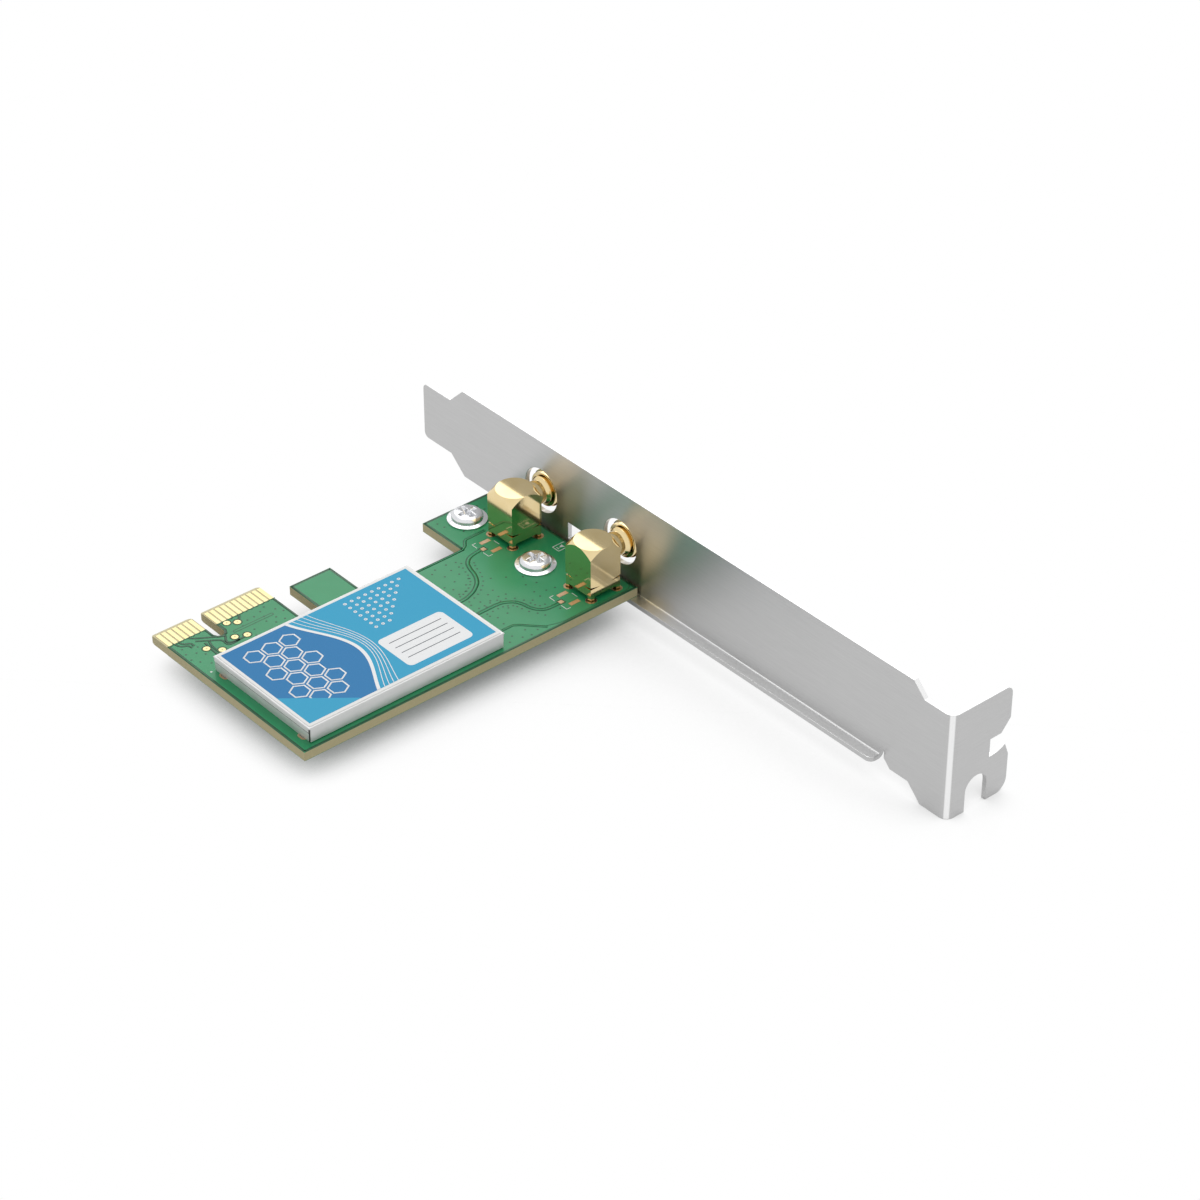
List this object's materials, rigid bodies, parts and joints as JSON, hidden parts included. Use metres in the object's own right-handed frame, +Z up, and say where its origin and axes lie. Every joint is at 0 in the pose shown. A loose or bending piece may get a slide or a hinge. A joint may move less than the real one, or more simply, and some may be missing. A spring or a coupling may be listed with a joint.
{
  "type": "pcie wifi card",
  "caption": "Computer expansion card: a keyed green circuit board with a labelled shield can, right-angle threaded antenna jacks and a folded full-height slot bracket.",
  "frame": {"origin": "centre of the bounding box on the floor plane, under the foot's lower edge", "axes": "+X along the bracket from its tab to its foot, +Y from the board out through the bracket, +Z up out of the component side"},
  "size_m": [0.1208, 0.0772, 0.0211],
  "materials": {
    "plated_steel": "satin plated sheet",
    "laminate": "glass epoxy laminate, cut edges",
    "solder_mask": "glossy green coat",
    "contact_gold": "hard gold over nickel",
    "bare_pad": "flash gold over copper",
    "can_metal": "tin-plated nickel silver",
    "label": "coated paper, printed fields of colour",
    "screw_plate": "bright zinc plate",
    "jack_gold": "gold plate over turned brass",
    "ptfe": "white fluoropolymer",
    "solder": "bright solder",
    "chip_epoxy": "black moulding compound",
    "crystal_lid": "plated lid",
    "ferrite": "sintered ferrite",
    "capacitor_body": "fired ceramic",
    "resistor_body": "glazed ceramic"
  },
  "bodies": {
    "root": {"bracket": "plated_steel", "circuit_board": "laminate", "solder_mask_top": "solder_mask", "solder_mask_bottom": "solder_mask", "edge_contacts_top": "contact_gold", "edge_contacts_bottom": "contact_gold", "test_pads": "contact_gold", "jack_lands": "bare_pad", "filter_lands_1": "bare_pad", "filter_lands_2": "bare_pad", "shield_lands": "bare_pad", "shield_frame": "can_metal", "shield_cover": "can_metal", "shield_label": "label", "board_screws": "screw_plate", "antenna_jack_1_body": "jack_gold", "antenna_jack_2_body": "jack_gold", "antenna_jack_1_contact": "jack_gold", "antenna_jack_2_contact": "jack_gold", "antenna_jack_1_insulator": "ptfe", "antenna_jack_2_insulator": "ptfe", "jack_solder": "solder", "wifi_chip": "chip_epoxy", "voltage_regulator": "chip_epoxy", "rf_front_ends": "chip_epoxy", "config_memory": "chip_epoxy", "reference_crystal": "crystal_lid", "power_inductor": "ferrite", "ceramic_capacitors": "capacitor_body", "chip_resistors": "resistor_body"}
  },
  "joints": []
}
